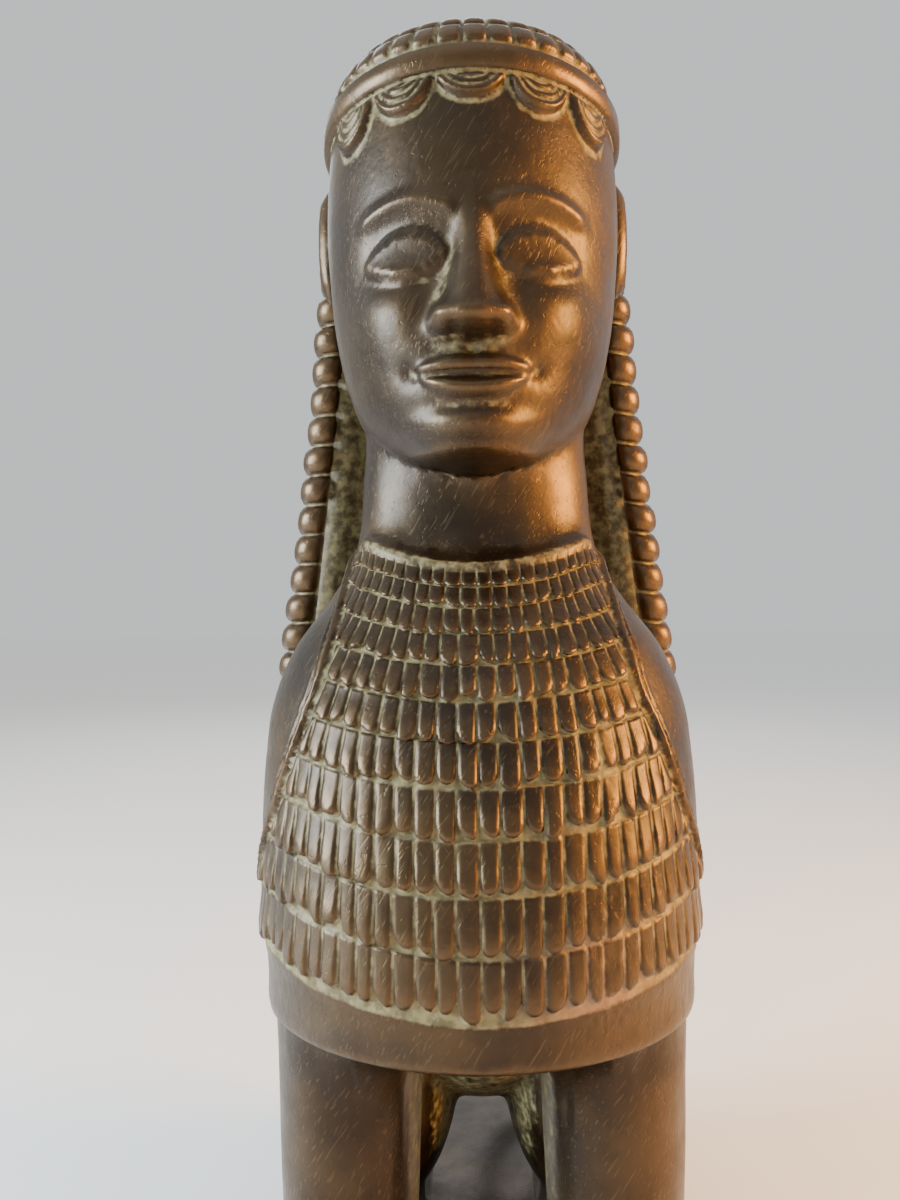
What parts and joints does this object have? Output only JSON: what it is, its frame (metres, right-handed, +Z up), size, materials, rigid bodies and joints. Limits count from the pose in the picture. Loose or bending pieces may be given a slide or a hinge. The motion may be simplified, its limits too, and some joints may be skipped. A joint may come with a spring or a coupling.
{
  "type": "sphinx statuette",
  "caption": "Seated archaic sphinx in brown patinated bronze: beaded locks, feathered breast, raised sickle wings, low cast plinth.",
  "frame": {"origin": "centre of the plinth's underside", "axes": "+Z up, -Y the way the figure faces, +X the figure's left"},
  "size_m": [0.06, 0.124, 0.1712],
  "materials": {
    "cast_bronze": "brown patinated bronze, worn bright on the heights, yellow-green verdigris left in the recesses, fine file scratches on the smooth parts"
  },
  "bodies": {
    "root": {"sphinx": "cast_bronze"}
  },
  "joints": []
}
